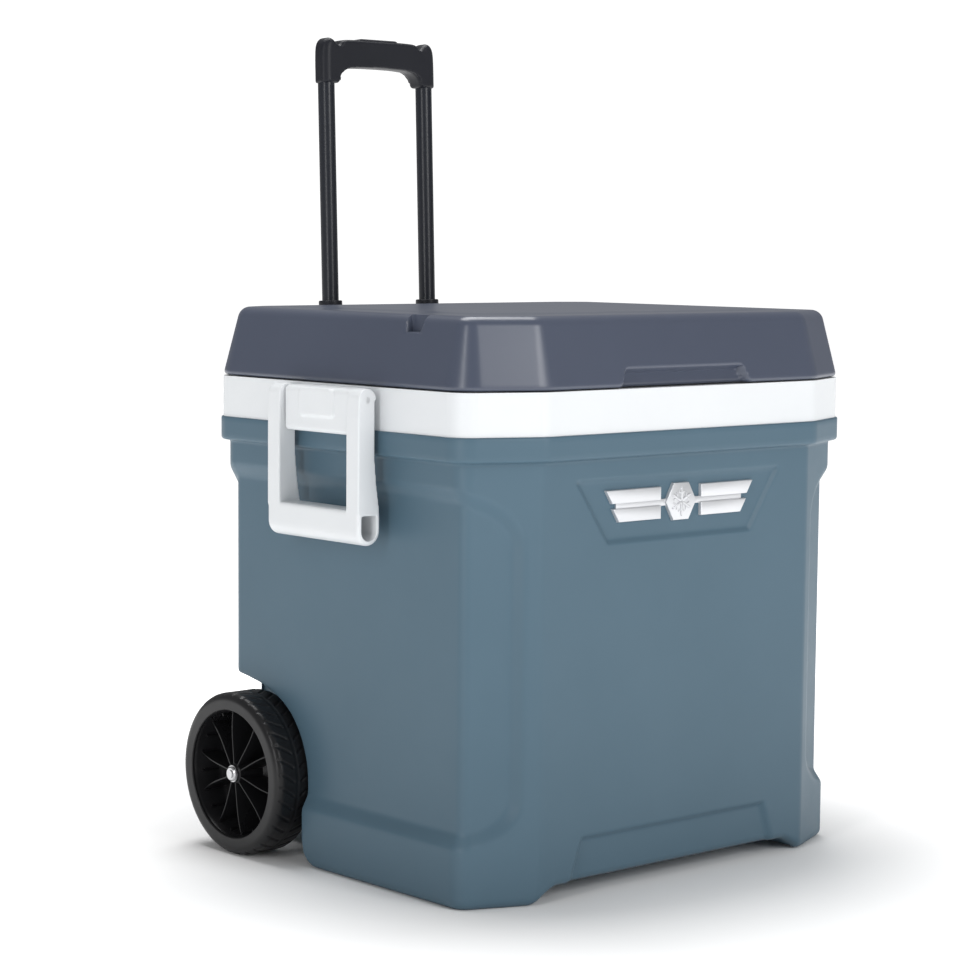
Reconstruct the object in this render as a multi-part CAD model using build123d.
from build123d import *
import math
import os

# A roller cooler. X runs across the front, -Y is the front, +Z is up. While the pieces are drawn, y = 0
# is the middle of the rim's plan and z = 0 is the floor; they are shifted along Y when they are written,
# so that the origin is the middle of the whole object's footprint.

# Plan of the rim: a rectangle with four long, shallow corner facets.
rim_width = 500.0
rim_depth = 412.0
front_facet_x = 75.0
front_facet_y = 33.0
back_facet_x = 50.0
back_facet_y = 24.0
facet_front_radius = 25.0
facet_side_radius = 28.0
facet_least_radius = 14.0

# Heights of the body.
rim_bottom = 396.5
rim_top = 419.0
band_top = 457.8
belly_height = 14.0

# Depths of the steps in the outer wall, measured inwards from the rim.
band_inset = 2.0
body_inset = 8.5
panel_inset = 16.0
shell_wall = 3.0

# Side panels and the plinth below them.
panel_top_outer = 373.0
panel_top_inner = 362.5
panel_low_outer = 55.0
panel_low_inner = 67.0
ridge_corner = 45.0
ridge_half_width = rim_width / 2 - ridge_corner

# Front face.
plate_half_top = 133.0
plate_half_low = 93.0
plate_top = 377.5
plate_low = 319.0
plate_depth = 2.0
kick_half_top = 121.0
kick_half_low = 138.5
kick_top = 55.5
kick_low = 17.0
badge_half = 98.0
badge_low = 336.0
badge_high = 370.0
badge_thickness = 3.0

# Wheels and axle.
wheel_radius = 78.0
wheel_width = 46.0
wheel_reach = 16.0
wheel_outer_x = rim_width / 2 + wheel_reach
wheel_back = 67.0
wheel_y = rim_depth / 2 - wheel_back
axle_diameter = 8.0
wheel_bore_clearance = 0.06
dish_lip = 6.0
tread_depth = 10.5
tread_seat = wheel_radius - tread_depth
dish_radius = tread_seat - dish_lip
tread_lugs = 30
spokes = 10
arch_gap = 8.0
arch_radius = wheel_radius + arch_gap
arch_shift = 4.0
arch_y = wheel_y + arch_shift
well_side_gap = 37.0
well_bump_gap = 23.0
well_inner_x = wheel_outer_x - wheel_width - well_side_gap
well_head_gap = 16.0
well_top = 2 * wheel_radius + well_head_gap
well_toe_gap = 11.0
well_front = wheel_y - wheel_radius - well_toe_gap

# Feet: two runners, one under each side.
foot_slope = 15.0
foot_inner_top = well_inner_x - well_bump_gap - foot_slope
foot_inner_low = well_inner_x - well_bump_gap
foot_back = 20.0

# Tub inside.
tub_inset = 34.0
tub_wall = 2.5
tub_floor = 52.0
band_wall = 3.0
well_bump_x = well_inner_x - well_bump_gap
well_bump_toe = 12.0
well_bump_y = well_front - well_bump_toe
well_bump_z = well_top + well_bump_gap
axle_step_front = 21.0
axle_step_y = wheel_y - axle_step_front
axle_step_rise = 34.0
axle_step_z = wheel_radius + axle_step_rise
foam_gap = 0.3

# Lid.
lid_bottom = 460.0
lid_inset = 1.0
lid_top = 521.0
lid_draft = 14.3
lid_edge_radius = 10.0
lid_wall = 3.0
crown_height = 4.0
crown_inset = 62.0
scoop_half_top = 74.0
scoop_half_low = 90.0
scoop_top = 476.0
scoop_depth = 9.0
plug_depth = 12.0
plug_gap = 4.0
notch_y = -96.0
notch_width = 22.0
notch_floor = 508.0
notch_reach = 9.0

# Lid hinges.
hinge_back = 5.0
hinge_y = rim_depth / 2 + hinge_back
hinge_z = 508.0
hinge_x = 150.0
hinge_barrel = 6.0
hinge_pin = 2.0
hinge_leaf_width = 24.0
hinge_ear_width = 11.0
running_gap = 0.05
side_gap = 0.4

# Side handles.
bail_reach = 25.0
bail_outer_x = rim_width / 2 + bail_reach
bail_half = 67.0
bail_arm_width = 18.0
bail_arm_depth = 19.0
bail_grip_depth = 26.0
bail_grip_low = 316.0
bail_grip_top = 348.0
bail_pivot_depth = 10.5
bail_pivot_x = bail_outer_x - bail_pivot_depth
bail_pivot_z = 447.0
bail_knuckle = 10.2
bail_pin = 3.0
bracket_half = 47.5
bracket_low = 414.0
bracket_high = 456.0
bracket_pad_half = 26.0

# Telescoping handle, drawn upright from its own foot and then leaned back.
tube_x = 64.5
tube_back = 35.0
tube_y = rim_depth / 2 + tube_back
tube_foot_z = 528.0
tube_lean = 2.1
tube_diameter = 17.0
tube_wall = 1.2
guide_clearance = 0.35
guide_wall = 1.4
handle_rise = 264.0
handle_travel = 213.0
tube_overlap = 200.0
guide_low = -425.0
collar_wall = 1.75
collar_top = -2.0
collar_radius = tube_diameter / 2 + guide_clearance + guide_wall + collar_wall
grip_side = 1.5
grip_half = tube_x + tube_diameter / 2 + grip_side
grip_wall = 2.0
grip_depth = tube_diameter + 2 * grip_wall
grip_bar_low = 233.0
socket_low = 216.0
socket_wall = 2.5
socket_width = tube_diameter + 2 * socket_wall
button_half = 24.0
button_depth = 15.0
button_travel = 4.0
lock_rod_diameter = 4.0
housing_half = 88.0
housing_high = -26.0
housing_low = -440.0
housing_wall = 3.0
flange_reach = 14.0
housing_gap = 2.0
screw_radius = 2.0
screw_head = 4.5
grip_screw_head = 3.5
grip_screw_x = 38.0

# Drain, low on the right side.
drain_y = -110.0
drain_z = 70.0
drain_pocket = 24.0
drain_pocket_depth = 24.0
spout_bore = 8.0
spout_radius = 11.0

lean = math.radians(tube_lean)
back_reach = tube_y + grip_depth / 2 * math.cos(lean) + handle_rise * math.sin(lean)
frame_shift = (back_reach - rim_depth / 2) / 2


def facet(size_x, size_y, inset):
    """One corner facet after an inset: its two legs and the fillet radii at its ends."""
    turn = math.atan2(size_y, size_x)
    front_share = math.tan(turn / 2)
    side_share = math.tan(math.pi / 4 - turn / 2)
    leg_x = size_x - inset * (1 - front_share)
    leg_y = size_y - inset * (1 - side_share)
    room = 0.45 * math.hypot(leg_x, leg_y)
    front_radius = min(max(facet_front_radius - inset, facet_least_radius), room / front_share)
    side_radius = min(max(facet_side_radius - inset, facet_least_radius), room / side_share)
    return leg_x, leg_y, front_radius, side_radius


def outline(inset):
    """The faceted plan, moved inwards by inset all the way round."""
    half_w = rim_width / 2 - inset
    half_d = rim_depth / 2 - inset
    front_x, front_y, front_r1, front_r2 = facet(front_facet_x, front_facet_y, inset)
    back_x, back_y, back_r1, back_r2 = facet(back_facet_x, back_facet_y, inset)
    right = [(half_w - front_x, -half_d), (half_w, front_y - half_d), (half_w, half_d - back_y),
             (half_w - back_x, half_d)]
    left = [(-x, y) for x, y in reversed(right)]
    radii = [front_r1, front_r2, back_r2, back_r1]
    return make_face(FilletPolyline(*(right + left), radius=radii + radii[::-1], close=True))


def prism(inset, low, high):
    return Pos(0, 0, low) * extrude(outline(inset), amount=high - low)


def taper(inset_low, inset_high, low, high):
    return loft([Pos(0, 0, low) * outline(inset_low), Pos(0, 0, high) * outline(inset_high)], ruled=True)


def box(x0, x1, y0, y1, z0, z1):
    return Pos((x0 + x1) / 2, (y0 + y1) / 2, (z0 + z1) / 2) * Box(x1 - x0, y1 - y0, z1 - z0)


def rod_x(radius, x0, x1, y, z):
    return Pos((x0 + x1) / 2, y, z) * Rot(0, 90, 0) * Cylinder(radius, x1 - x0)


def rod_y(radius, y0, y1, x, z):
    return Pos(x, (y0 + y1) / 2, z) * Rot(90, 0, 0) * Cylinder(radius, y1 - y0)


def rod_z(radius, z0, z1, x, y):
    return Pos(x, y, (z0 + z1) / 2) * Cylinder(radius, z1 - z0)


def slab_x(points, x0, x1):
    """A shape drawn in the Y-Z plane and given a thickness along X."""
    face = make_face(Polyline(*[(x0, y, z) for y, z in points], close=True))
    return extrude(face, amount=x1 - x0, dir=(1, 0, 0))


def slab_y(points, y0, y1):
    """A shape drawn in the X-Z plane and given a thickness along Y."""
    face = make_face(Polyline(*[(x, y0, z) for x, z in points], close=True))
    return extrude(face, amount=y1 - y0, dir=(0, 1, 0))


def trapezoid(half_low, half_high, low, high):
    return [(-half_low, low), (half_low, low), (half_high, high), (-half_high, high)]


def both_sides(shape):
    return shape + mirror(shape, about=Plane.YZ)


def wheel_well(side, grow):
    """The space over one wheel, grown by a wall thickness."""
    inner = side * (well_inner_x - grow)
    outer = side * (rim_width / 2 + 20)
    x0, x1 = min(inner, outer), max(inner, outer)
    arch = rod_x(arch_radius + grow, x0, x1, arch_y, wheel_radius)
    behind = box(x0, x1, arch_y, rim_depth, -5, well_top + grow)
    below = box(x0, x1, well_front - grow, rim_depth, -5, wheel_radius - 16 + grow)
    return arch + behind + below


def outer_form():
    """The outside of the blue shell, without its openings."""
    reach = rim_depth
    form = prism(0, rim_bottom, rim_top)
    form += prism(body_inset, panel_top_outer, rim_bottom)
    form += taper(panel_inset, body_inset, panel_top_inner, panel_top_outer)
    form += prism(panel_inset, panel_low_inner, panel_top_inner)
    form += taper(body_inset, panel_inset, panel_low_outer, panel_low_inner)
    form += prism(body_inset, 0, panel_low_outer)
    middle = box(-ridge_half_width, ridge_half_width, -reach, reach, 0, rim_bottom)
    form += prism(body_inset, 0, rim_bottom) & middle
    return form


def shell_cavity(gap):
    """The space inside the shell's wall, made smaller by gap."""
    low = belly_height + shell_wall + gap
    step = panel_top_outer + 6
    shoulder = rim_bottom + shell_wall
    cavity = prism(panel_inset + shell_wall + gap, low, step)
    cavity += prism(body_inset + shell_wall + gap, step, shoulder + gap)
    cavity += prism(shell_wall + gap, shoulder + gap, rim_top)
    for side in (-1, 1):
        cavity -= wheel_well(side, shell_wall + gap)
    cavity -= rod_x(axle_diameter / 2 + shell_wall + 1 + gap, -rim_width, rim_width, wheel_y, wheel_radius)
    pocket = drain_pocket + shell_wall + gap
    wall_x = rim_width / 2 - drain_pocket_depth - shell_wall - gap
    cavity -= box(wall_x, rim_width, drain_y - pocket, drain_y + pocket, drain_z - pocket, drain_z + pocket)
    return cavity


def make_outer_shell():
    reach = rim_depth
    shell = outer_form() - shell_cavity(0)
    belly = trapezoid(foot_inner_low, foot_inner_top, -1, belly_height)
    shell -= slab_y(belly, -reach, reach)
    shell -= slab_x([(foot_back, 0), (foot_back, -5), (reach, -5), (reach, belly_height),
                     (foot_back + 20, 6)],
                    -rim_width, rim_width)
    for side in (-1, 1):
        shell -= wheel_well(side, 0)
    shell -= rod_x(axle_diameter / 2 + 0.1, -rim_width, rim_width, wheel_y, wheel_radius)
    face_y = -rim_depth / 2 + body_inset
    plate = trapezoid(plate_half_low, plate_half_top, plate_low, plate_top)
    shell -= slab_y(plate, face_y - 5, face_y + plate_depth)
    kick = trapezoid(kick_half_low, kick_half_top, kick_low, kick_top)
    shell -= slab_y(kick, face_y - 5, face_y + plate_depth)
    pocket_x = rim_width / 2 - drain_pocket_depth
    shell -= box(pocket_x, rim_width, drain_y - drain_pocket, drain_y + drain_pocket,
                 drain_z - drain_pocket, drain_z + drain_pocket)
    shell -= rod_x(spout_radius + 0.2, pocket_x - 20, pocket_x + 1, drain_y, drain_z)
    for x, z in screw_places():
        shell -= rod_y(screw_radius + 0.1, 150, 220, x, z)
    return shell


def tub_form(grow):
    """The space that the tub encloses, grown by grow."""
    form = prism(tub_inset - grow, tub_floor - grow, band_top + 1)
    bump_x = well_bump_x + grow
    bump_y = well_bump_y + grow
    bump_z = well_bump_z - grow
    for side in (-1, 1):
        x0, x1 = sorted((side * bump_x, side * rim_width))
        form -= box(x0, x1, bump_y, rim_depth, 0, bump_z)
    form -= box(-rim_width, rim_width, axle_step_y + grow, rim_depth, 0, axle_step_z - grow)
    return form


def make_liner():
    flange = prism(band_inset, rim_top, band_top) - prism(band_inset + band_wall, rim_top - 1, band_top - 4)
    lip = prism(shell_wall + 0.3, rim_top - 10, rim_top + 5)
    lip -= prism(shell_wall + 2.8, rim_top - 11, rim_top + 6)
    tub = tub_form(tub_wall) & box(-rim_width, rim_width, -rim_depth, rim_depth, 0, band_top)
    liner = flange + lip + tub - tub_form(0)
    pocket_x = rim_width / 2 - drain_pocket_depth
    liner -= rod_x(spout_radius + 0.2, pocket_x - 25, pocket_x, drain_y, drain_z)
    return liner


def make_body_foam():
    edge = shell_wall + 2.8 + foam_gap
    foam = shell_cavity(foam_gap) + prism(edge, rim_bottom + shell_wall + foam_gap, band_top - 4.3)
    foam -= prism(shell_wall - 1, rim_top - 10.3, rim_top) - prism(edge, rim_top - 11, rim_top + 1)
    foam -= tub_form(tub_wall + foam_gap)
    foam -= rod_x(spout_radius + 0.6, 190, 250, drain_y, drain_z)
    for x, z in screw_places():
        foam -= rod_y(screw_radius + 0.3, 150, 220, x, z)
    return foam


def make_badge():
    """A plain emblem: a six-armed ice crystal in a hexagon, between pairs of slanted bars."""
    y = -rim_depth / 2 + body_inset + plate_depth
    mid = (badge_low + badge_high) / 2
    half = (badge_high - badge_low) / 2
    tile = extrude(RegularPolygon(half + 3, 6), amount=badge_thickness)
    crystal = None
    for k in range(3):
        arm = Rot(0, 0, 60 * k + 30) * Box(2 * half - 6, 3.2, 1.6)
        crystal = arm if crystal is None else crystal + arm
    emblem = tile + Pos(0, 0, badge_thickness + 0.4) * crystal
    emblem = Pos(0, y, mid) * Rot(90, 0, 0) * emblem
    for row in (-1, 1):
        for side in (-1, 1):
            low = mid + row * half / 2 - half / 2 + 2.5
            high = low + half - 5
            near = side * (half + 12)
            far = side * (badge_half - (6 if row < 0 else 0))
            bar = [(near, low), (far - side * 6, low), (far, high), (near, high)]
            emblem += slab_y(bar, y - badge_thickness, y)
    tie = slab_y([(-badge_half + 14, mid - 3.5), (badge_half - 14, mid - 3.5), (badge_half - 14, mid + 3.5),
                  (-badge_half + 14, mid + 3.5)], y - 1.2, y)
    return emblem + tie


def make_axle():
    return rod_x(axle_diameter / 2, -wheel_outer_x, wheel_outer_x, wheel_y, wheel_radius)


def on_axle(shape, side):
    """Place a piece that was drawn with its axis along Z and its outer end up."""
    return Pos(0, wheel_y, wheel_radius) * Rot(0, 90 * side, 0) * shape


def ring_z(outer, inner, z0, z1):
    return rod_z(outer, z0, z1, 0, 0) - rod_z(inner, z0 - 1, z1 + 1, 0, 0)


def circles(shape, radius):
    """The circular edges of one radius, from the lowest up."""
    rings = [e for e in shape.edges().filter_by(GeomType.CIRCLE) if abs(e.radius - radius) < 0.01]
    return ShapeList(rings).sort_by(Axis.Z)


wheel_inner_x = wheel_outer_x - wheel_width
hub_inner_x = well_inner_x + 2.5
hub_outer_x = wheel_outer_x - 5.0


def make_wheel(side):
    """Ring, web, hub and spokes in one moulding."""
    wheel = ring_z(tread_seat, dish_radius - 4, wheel_inner_x, wheel_outer_x - 3)
    wheel += ring_z(dish_radius, 10, wheel_inner_x + 9, wheel_inner_x + 13)
    wheel += rod_z(13, hub_inner_x, hub_outer_x - 6, 0, 0)
    wheel += rod_z(9, hub_outer_x - 7, hub_outer_x, 0, 0)
    for k in range(spokes):
        rib = box(11, dish_radius - 2, -1.6, 1.6, wheel_inner_x + 12, hub_outer_x - 3)
        wheel += Rot(0, 0, 360 / spokes * k) * rib
    wheel -= rod_z(axle_diameter / 2 + wheel_bore_clearance, hub_inner_x - 1, hub_outer_x + 1, 0, 0)
    return on_axle(wheel, side)


def make_tread(side):
    """Rubber tyre with slanted lug grooves across both shoulders."""
    tyre = ring_z(wheel_radius, tread_seat, wheel_inner_x, wheel_outer_x)
    tyre = fillet(circles(tyre, wheel_radius), 5.0)
    tyre += ring_z(tread_seat + 1, dish_radius, wheel_outer_x - 3, wheel_outer_x)
    middle = (wheel_inner_x + wheel_outer_x) / 2
    for k in range(tread_lugs):
        turn = 360 / tread_lugs * k
        for end in (-1, 1):
            groove = Pos(wheel_radius, 0, middle + end * 14) * Rot(end * 28, 0, 0) * Box(3.2, 3.0, 21)
            tyre -= Rot(0, 0, turn + (end * 90 / tread_lugs)) * groove
    return on_axle(tyre, side)


def make_washers():
    """Spacers between each hub and the shell, and between hub and push nut."""
    inner = ring_z(10, axle_diameter / 2 + 0.1, well_inner_x + 0.3, hub_inner_x - side_gap)
    outer = ring_z(8, axle_diameter / 2 + 0.1, hub_outer_x + side_gap, hub_outer_x + 1.6)
    return Compound([on_axle(piece, side) for side in (-1, 1) for piece in (inner, outer)])


def make_push_nuts():
    """Domed spring nuts pressed on the axle's ends."""
    dome = ring_z(7, axle_diameter / 2, hub_outer_x + 1.8, hub_outer_x + 4.0)
    dome = chamfer(circles(dome, 7)[-1:], 1.2)
    return Compound([on_axle(dome, side) for side in (-1, 1)])


def lid_side_inset(z):
    return lid_inset + (z - lid_bottom) * math.tan(math.radians(lid_draft))


def lid_form():
    block = taper(lid_side_inset(lid_bottom), lid_side_inset(lid_top), lid_bottom, lid_top)
    block = fillet(block.faces().sort_by(Axis.Z)[-1].edges(), lid_edge_radius)
    crown = taper(crown_inset - 5, crown_inset, lid_top - 1, lid_top + crown_height)
    return block + crown


def lid_cuts(grow):
    """The finger scoop at the front and a strap notch in each side's top edge."""
    face_y = -rim_depth / 2
    scoop = trapezoid(scoop_half_low + grow, scoop_half_top + grow, lid_bottom - 5 - grow, scoop_top + grow)
    cut = slab_y(scoop, face_y - 10, face_y + scoop_depth + grow)
    edge = rim_width / 2 - lid_side_inset(notch_floor) - notch_reach
    half = notch_width / 2 + grow
    notch = box(edge - grow, rim_width / 2 + 10, notch_y - half, notch_y + half,
                notch_floor - grow, lid_top + 20)
    return cut + both_sides(notch)


def lid_cavity(gap):
    low = lid_bottom - 1 if gap == 0 else lid_bottom + lid_wall + gap
    roof = lid_top - lid_wall - gap
    cavity = taper(lid_side_inset(low) + lid_wall + gap, lid_side_inset(roof) + lid_wall + gap, low, roof)
    return cavity - lid_cuts(lid_wall + gap)


def make_lid_shell():
    return lid_form() - lid_cavity(0) - lid_cuts(0)


def make_lid_foam():
    return lid_cavity(foam_gap)


def make_lid_panel():
    """The white underside: a plate inside the skirt, with a shallow plug that drops into the tub."""
    edge = lid_side_inset(lid_bottom) + lid_wall + foam_gap
    plate = prism(edge + 0.8, lid_bottom, lid_bottom + lid_wall) - lid_cuts(lid_wall + foam_gap)
    rim = tub_inset + plug_gap
    plug = prism(rim, lid_bottom - plug_depth, lid_bottom + 1)
    plug -= prism(rim + tub_wall, lid_bottom - plug_depth - 1, lid_bottom - tub_wall)
    return plate + plug


def hinge_ears(grow):
    """Two ears of each hinge base, one each side of the leaf's knuckle."""
    half = hinge_leaf_width / 2 + side_gap - grow
    ears = []
    for end in (-1, 1):
        near = hinge_x + end * half
        far = hinge_x + end * (half + hinge_ear_width)
        ears.append((min(near, far), max(near, far)))
    return ears


def make_hinge_bases():
    """Plates on the back of the white band that rise behind the lid to the hinge line."""
    wall_y = rim_depth / 2 - band_inset
    half = hinge_leaf_width / 2 + side_gap + hinge_ear_width
    base = box(hinge_x - half, hinge_x + half, wall_y, wall_y + 5, band_top - 34, band_top - 3)
    for x0, x1 in hinge_ears(0):
        post = slab_x([(wall_y, band_top - 30), (wall_y + 5, band_top - 30), (hinge_y + 5, hinge_z - 30),
                       (hinge_y + hinge_barrel, hinge_z), (hinge_y - 4, hinge_z), (wall_y + 1, band_top)], x0, x1)
        base += post + rod_x(hinge_barrel, x0, x1, hinge_y, hinge_z)
    base -= rod_x(hinge_pin, hinge_x - 40, hinge_x + 40, hinge_y, hinge_z)
    for x, z in hinge_screw_places():
        base -= rod_y(screw_radius, wall_y - 5, wall_y + 20, x, z)
        base -= rod_y(screw_head, wall_y + 3, wall_y + 20, x, z)
    return both_sides(base)


def hinge_screw_places():
    return [(hinge_x + end * 12, band_top - 24) for end in (-1, 1)]


def make_hinge_leaves():
    """A knuckle on each hinge line with a plate that lies on the lid's back."""
    x0 = hinge_x - hinge_leaf_width / 2
    x1 = hinge_x + hinge_leaf_width / 2
    back_low = rim_depth / 2 - lid_side_inset(hinge_z - 30)
    back_high = rim_depth / 2 - lid_side_inset(hinge_z + 2)
    arm = slab_x([(back_low - 2, hinge_z - 30), (back_low + 3.5, hinge_z - 30), (back_high + 4.5, hinge_z - 6),
                  (hinge_y, hinge_z - 5), (hinge_y, hinge_z + 5), (back_high - 2, hinge_z + 2)], x0, x1)
    leaf = arm + rod_x(hinge_barrel, x0, x1, hinge_y, hinge_z)
    leaf -= lid_form()
    leaf -= rod_x(hinge_pin + running_gap, x0 - 5, x1 + 5, hinge_y, hinge_z)
    return both_sides(leaf)


def make_hinge_pins():
    half = hinge_leaf_width / 2 + side_gap + hinge_ear_width
    return both_sides(rod_x(hinge_pin, hinge_x - half, hinge_x + half, hinge_y, hinge_z))


def make_hinge_screws():
    wall_y = rim_depth / 2 - band_inset
    screws = None
    for x, z in hinge_screw_places():
        screw = rod_y(screw_radius, wall_y, wall_y + 3, x, z)
        screw += rod_y(screw_head - 0.2, wall_y + 3, wall_y + 5, x, z)
        screws = screw if screws is None else screws + screw
    return both_sides(screws)


def make_bracket(side):
    """A white block on the band that carries the handle's pin."""
    outer = bail_outer_x - 5.5
    block = box(200, outer, -bracket_half, bracket_half, bracket_low, bracket_high)
    block = fillet(block.edges().filter_by(Axis.Y).group_by(Axis.X)[-1], 3.0)
    pad = box(outer - 1, outer + 2.2, -bracket_pad_half, bracket_pad_half,
              bracket_low + 16, bracket_high - 1.5)
    pad = fillet(pad.faces().sort_by(Axis.X)[-1].edges(), 1.8)
    block += pad
    block -= prism(0, bracket_low - 5, rim_top)
    block -= prism(band_inset, rim_top - 1, bracket_high + 5)
    block -= rod_y(bail_pin, -100, 100, bail_pivot_x, bail_pivot_z)
    return block if side > 0 else mirror(block, about=Plane.YZ)


def make_bail(side):
    """A white handle: two arms and a hollow grip that is open at both ends."""
    outer = bail_outer_x
    arms = None
    for y0 in (-bail_half, bail_half - bail_arm_width):
        y1 = y0 + bail_arm_width
        profile = [(outer - 0.5, bail_pivot_z), (outer, bail_grip_low + 15),
                   (outer - bail_grip_depth, bail_grip_low + 15),
                   (outer - bail_arm_depth, bail_grip_top + 45), (outer - bail_arm_depth, bail_pivot_z)]
        arm = slab_y(profile, y0, y1) + rod_y(bail_knuckle, y0, y1, bail_pivot_x, bail_pivot_z)
        arms = arm if arms is None else arms + arm
    grip = box(outer - bail_grip_depth, outer, -bail_half, bail_half, bail_grip_low, bail_grip_top)
    grip = fillet(grip.edges().filter_by(Axis.Y).group_by(Axis.Z)[0], 9.0)
    grip = fillet(grip.edges().filter_by(Axis.Y).group_by(Axis.Z)[-1], 3.0)
    bore = box(outer - bail_grip_depth + 3, outer - 3, -bail_half - 1, bail_half + 1,
               bail_grip_low + 3, bail_grip_top - 5)
    bore = fillet(bore.edges().filter_by(Axis.Y).group_by(Axis.Z)[0], 6.5)
    bail = arms + grip - bore
    bail -= rod_y(bail_pin + running_gap, -bail_half - 5, bail_half + 5, bail_pivot_x, bail_pivot_z)
    return bail if side > 0 else mirror(bail, about=Plane.YZ)


def make_bail_pin(side):
    return rod_y(bail_pin, -bail_half, bail_half, side * bail_pivot_x, bail_pivot_z)


def leaned(shape):
    """Put a piece of the telescoping handle, drawn upright at the origin, in its place."""
    return Pos(0, tube_y, tube_foot_z) * Rot(-tube_lean, 0, 0) * shape


def pipe(outer, inner, z0, z1, x):
    return rod_z(outer, z0, z1, x, 0) - rod_z(inner, z0 - 1, z1 + 1, x, 0)


guide_inner = tube_diameter / 2 + guide_clearance
guide_outer = guide_inner + guide_wall
tube_inner = tube_diameter / 2 - tube_wall


def make_guide_tube(side):
    return leaned(pipe(guide_outer, guide_inner, guide_low, housing_high, side * tube_x))


def make_slide_tube(side):
    tube = pipe(tube_diameter / 2, tube_inner, -tube_overlap, handle_rise - 12, side * tube_x)
    for face in (-1, 1):
        wall = face * tube_diameter / 2
        tube -= box(side * tube_x - 1.6, side * tube_x + 1.6, wall - 0.5, wall + 0.5,
                    -tube_overlap + 20, socket_low - 1)
    return leaned(tube - yoke_room())


def make_collars():
    """Rings that close the guides' upper ends round the sliding tubes."""
    rings = None
    for side in (-1, 1):
        ring = pipe(collar_radius, guide_inner, housing_high, collar_top, side * tube_x)
        ring = fillet(circles(ring, collar_radius)[-1:], 1.5)
        rings = ring if rings is None else rings + ring
    return leaned(rings)


def make_tube_plugs():
    """Lower end plugs of the sliding tubes, which hold the lock pins and guide the rods."""
    plugs = None
    for side in (-1, 1):
        plug = rod_z(tube_inner - 0.1, -tube_overlap + 1, -tube_overlap + 26, side * tube_x, 0)
        plug += rod_z(tube_diameter / 2, -tube_overlap - 3, -tube_overlap - 0.1, side * tube_x, 0)
        plug += rod_z(tube_inner - 0.1, -tube_overlap - 1, -tube_overlap + 2, side * tube_x, 0)
        plug -= rod_z(lock_rod_diameter / 2 + 0.4, -tube_overlap + 10, -tube_overlap + 30, side * tube_x, 0)
        plugs = plug if plugs is None else plugs + plug
    return leaned(plugs)


def make_lock_rod(side):
    low = -tube_overlap + 10 + button_travel + 1
    return leaned(rod_z(lock_rod_diameter / 2, low, yoke_low - 0.2, side * tube_x, 0))


yoke_low = grip_bar_low + 10.0
yoke_high = yoke_low + 5.0
grip_screw_z = yoke_high + 5.6
roof_low = handle_rise - 5.0


def button_opening(gap, low, high):
    half_depth = button_depth / 2 + gap
    return box(-button_half - gap, button_half + gap, -half_depth, half_depth, low, high)


def grip_form():
    half_d = grip_depth / 2
    inner = tube_x - socket_width / 2 - 1
    profile = [(-grip_half, handle_rise - 4), (-grip_half + 4, handle_rise), (-tube_x + 13, handle_rise - 1),
               (-tube_x + 19, handle_rise - 5), (tube_x - 19, handle_rise - 5), (tube_x - 13, handle_rise - 1),
               (grip_half - 4, handle_rise), (grip_half, handle_rise - 4), (grip_half - 1.5, socket_low),
               (inner, socket_low), (inner - 4, grip_bar_low - 2), (inner - 12, grip_bar_low + 2),
               (-inner + 12, grip_bar_low + 2), (-inner + 4, grip_bar_low - 2), (-inner, socket_low),
               (-grip_half + 1.5, socket_low)]
    form = slab_y(profile, -half_d, half_d)
    ends = [e for e in form.edges().filter_by(Axis.X) if abs(abs(e.center().Y) - half_d) < 0.01]
    return fillet(ends, 3.0)


def yoke_room():
    """The slot that the yoke bar moves in, through the grip and the tubes' tops."""
    return box(-tube_x - 4, tube_x + 4, -5.5, 5.5, yoke_low - button_travel - 1, yoke_high + 1)


def grip_room():
    """The room inside the grip for the tubes, the yoke and the button."""
    room = yoke_room()
    room += button_opening(0.5, yoke_low - button_travel - 1, handle_rise + 10)
    for side in (-1, 1):
        room += rod_z(tube_diameter / 2, socket_low - 1, handle_rise - 12, side * tube_x, 0)
    return room


def make_grip_half(end):
    """The grip is two mouldings that meet on the plane of the tubes."""
    y0, y1 = sorted((0, end * grip_depth))
    half = (grip_form() & box(-200, 200, y0, y1, socket_low - 20, handle_rise + 20)) - grip_room()
    for side in (-1, 1):
        half -= rod_y(screw_radius, -7, 7, side * grip_screw_x, grip_screw_z)
        half -= rod_y(grip_screw_head, 7, grip_depth, side * grip_screw_x, grip_screw_z)
    return leaned(half)


def make_grip_screws():
    screws = None
    for side in (-1, 1):
        screw = rod_y(screw_radius, -7, 7, side * grip_screw_x, grip_screw_z)
        screw += rod_y(grip_screw_head, 7, 9.5, side * grip_screw_x, grip_screw_z)
        screws = screw if screws is None else screws + screw
    return leaned(screws)


def make_button():
    """The release button, with the yoke bar that pushes both lock rods."""
    cap = button_opening(0, yoke_high, handle_rise)
    cap = fillet(cap.faces().sort_by(Axis.Z)[-1].edges(), 2.5)
    yoke = box(-tube_x - 3, tube_x + 3, -4, 4, yoke_low, yoke_high)
    spring_seat = rod_z(5.0, yoke_low - 1, yoke_low + 2.5, 0, 0)
    return leaned(cap + yoke - spring_seat)


def make_button_spring():
    """Return spring under the button, as its outer shape."""
    low = yoke_low - button_travel - 1
    return leaned(rod_z(3.8, low, yoke_low + 2.4, 0, 0) - rod_z(2.6, low - 1, yoke_low + 3, 0, 0))


def screw_places():
    x = housing_half + flange_reach / 2
    return [(side * x, z) for side in (-1, 1) for z in (130.0, 250.0, 350.0)]


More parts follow.
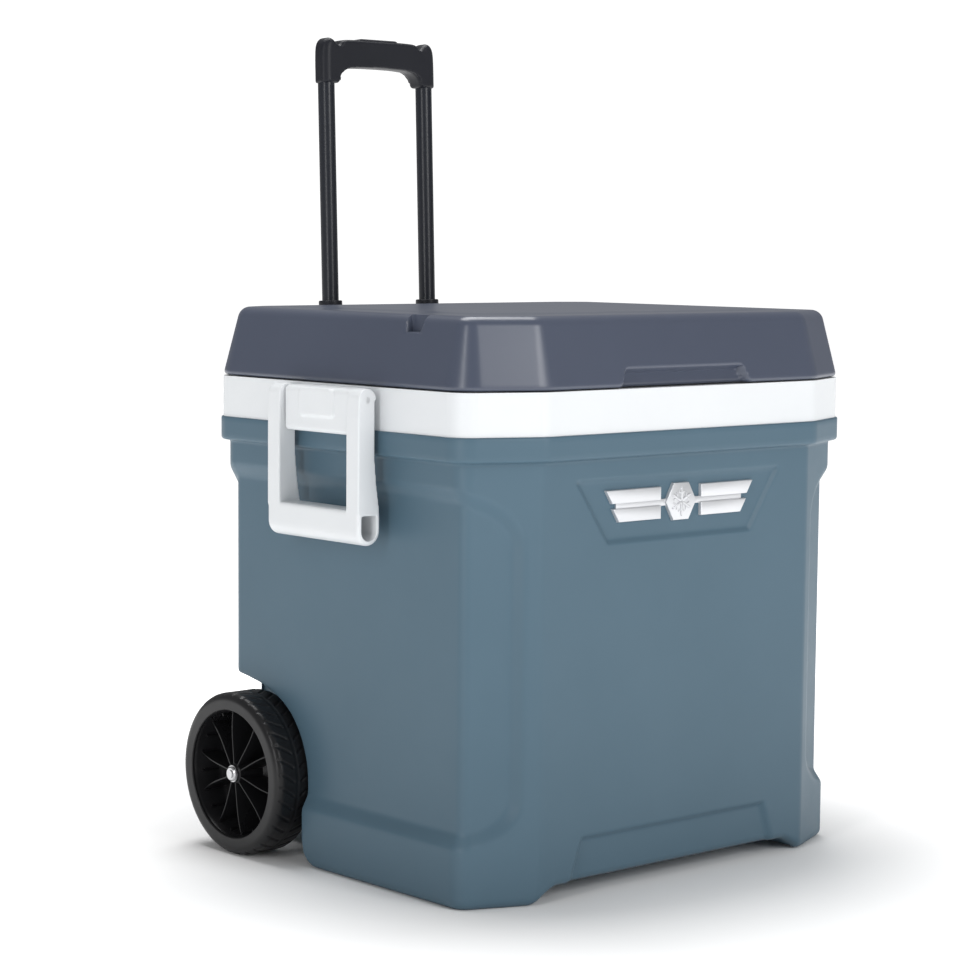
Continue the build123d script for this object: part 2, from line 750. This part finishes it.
def make_housing():
    """A black channel on the cooler's back that holds both guide tubes."""
    wall_y = rim_depth / 2 - body_inset
    front = -60
    back = guide_outer + housing_wall + 0.5
    channel = box(-housing_half, housing_half, front, back, housing_low, housing_high)
    channel = fillet(channel.edges().filter_by(Axis.Z).group_by(Axis.Y)[-1], 10.0)
    channel = leaned(channel)
    room_half = housing_half - housing_wall
    inside = leaned(box(-room_half, room_half, front - 10, back - housing_wall, guide_low, housing_high - 12))
    flange_half = housing_half + flange_reach
    flange = box(-flange_half, flange_half, wall_y, wall_y + housing_wall, 112, 372)
    housing = channel + flange - inside
    housing -= prism(body_inset, 0, rim_bottom)
    housing -= prism(-housing_gap, rim_bottom - 0.5, lid_top)
    housing -= box(-300, 300, 0, wall_y, 0, rim_bottom)
    for side in (-1, 1):
        housing -= leaned(rod_z(guide_outer, guide_low, housing_high + 5, side * tube_x, 0))
    for x, z in screw_places():
        housing -= rod_y(screw_radius + 0.05, 150, 260, x, z)
    return housing


def make_housing_screws():
    wall_y = rim_depth / 2 - body_inset
    top = wall_y + housing_wall
    screws = None
    for x, z in screw_places():
        screw = rod_y(screw_radius, top - 16, top, x, z) + rod_y(screw_head, top, top + 2.5, x, z)
        screws = screw if screws is None else screws + screw
    return screws


drain_face = rim_width / 2 - drain_pocket_depth
tub_inner_x = rim_width / 2 - tub_inset


def at_drain(shape):
    """Place a piece that was drawn round the Z axis, with z as its distance from the middle plane."""
    return Pos(0, drain_y, drain_z) * Rot(0, 90, 0) * shape


def make_spout():
    spout = ring_z(spout_radius, spout_bore, tub_inner_x - 8, drain_face + 12)
    return at_drain(spout + ring_z(16, spout_bore, drain_face + 1.5, drain_face + 4))


def make_drain_gasket():
    return at_drain(ring_z(15, spout_radius + 0.1, drain_face, drain_face + 1.5))


def make_drain_nut():
    nut = extrude(RegularPolygon(16, 6), amount=6) - Cylinder(spout_radius + 0.1, 20)
    return at_drain(Pos(0, 0, tub_inner_x - 6.1) * nut)


def make_drain_cap():
    base = drain_face + 4.6
    top = drain_face + 18
    cap = rod_z(15, base, top, 0, 0)
    cap = fillet(cap.edges().filter_by(GeomType.CIRCLE).sort_by(Axis.Z)[-1:], 2.0)
    cap -= rod_z(spout_radius + 0.4, base - 1, top - 3, 0, 0)
    for k in range(12):
        cap -= Rot(0, 0, 30 * k) * box(14.2, 17, -1.2, 1.2, base - 1, top - 4)
    return at_drain(cap)


def make_cap_washer():
    return at_drain(ring_z(spout_radius - 0.4, 4, drain_face + 12.3, drain_face + 14.7))


def save(name, shape):
    placed = Pos(0, -frame_shift, 0) * shape
    export_step(placed, os.path.join("parts", name + ".step"))


def main():
    os.makedirs("parts", exist_ok=True)
    save("outer_shell", make_outer_shell())
    save("body_foam", make_body_foam())
    save("liner", make_liner())
    save("front_badge", make_badge())
    save("axle", make_axle())
    save("axle_washers", make_washers())
    save("push_nuts", make_push_nuts())
    save("lid_shell", make_lid_shell())
    save("lid_foam", make_lid_foam())
    save("lid_panel", make_lid_panel())
    save("hinge_bases", make_hinge_bases())
    save("hinge_leaves", make_hinge_leaves())
    save("hinge_pins", make_hinge_pins())
    save("hinge_screws", make_hinge_screws())
    for side, word in ((-1, "left"), (1, "right")):
        save("wheel_" + word, make_wheel(side))
        save("tread_" + word, make_tread(side))
        save("bail_" + word, make_bail(side))
        save("bail_bracket_" + word, make_bracket(side))
        save("bail_pin_" + word, make_bail_pin(side))
        save("guide_tube_" + word, make_guide_tube(side))
        save("slide_tube_" + word, make_slide_tube(side))
        save("lock_rod_" + word, make_lock_rod(side))
    save("tube_collars", make_collars())
    save("tube_plugs", make_tube_plugs())
    save("grip_front", make_grip_half(-1))
    save("grip_back", make_grip_half(1))
    save("grip_screws", make_grip_screws())
    save("release_button", make_button())
    save("button_spring", make_button_spring())
    save("handle_housing", make_housing())
    save("housing_screws", make_housing_screws())
    save("drain_spout", make_spout())
    save("drain_gasket", make_drain_gasket())
    save("drain_nut", make_drain_nut())
    save("drain_cap", make_drain_cap())
    save("drain_cap_washer", make_cap_washer())
    print("origin is", round(frame_shift, 3), "mm behind the middle of the rim")


main()
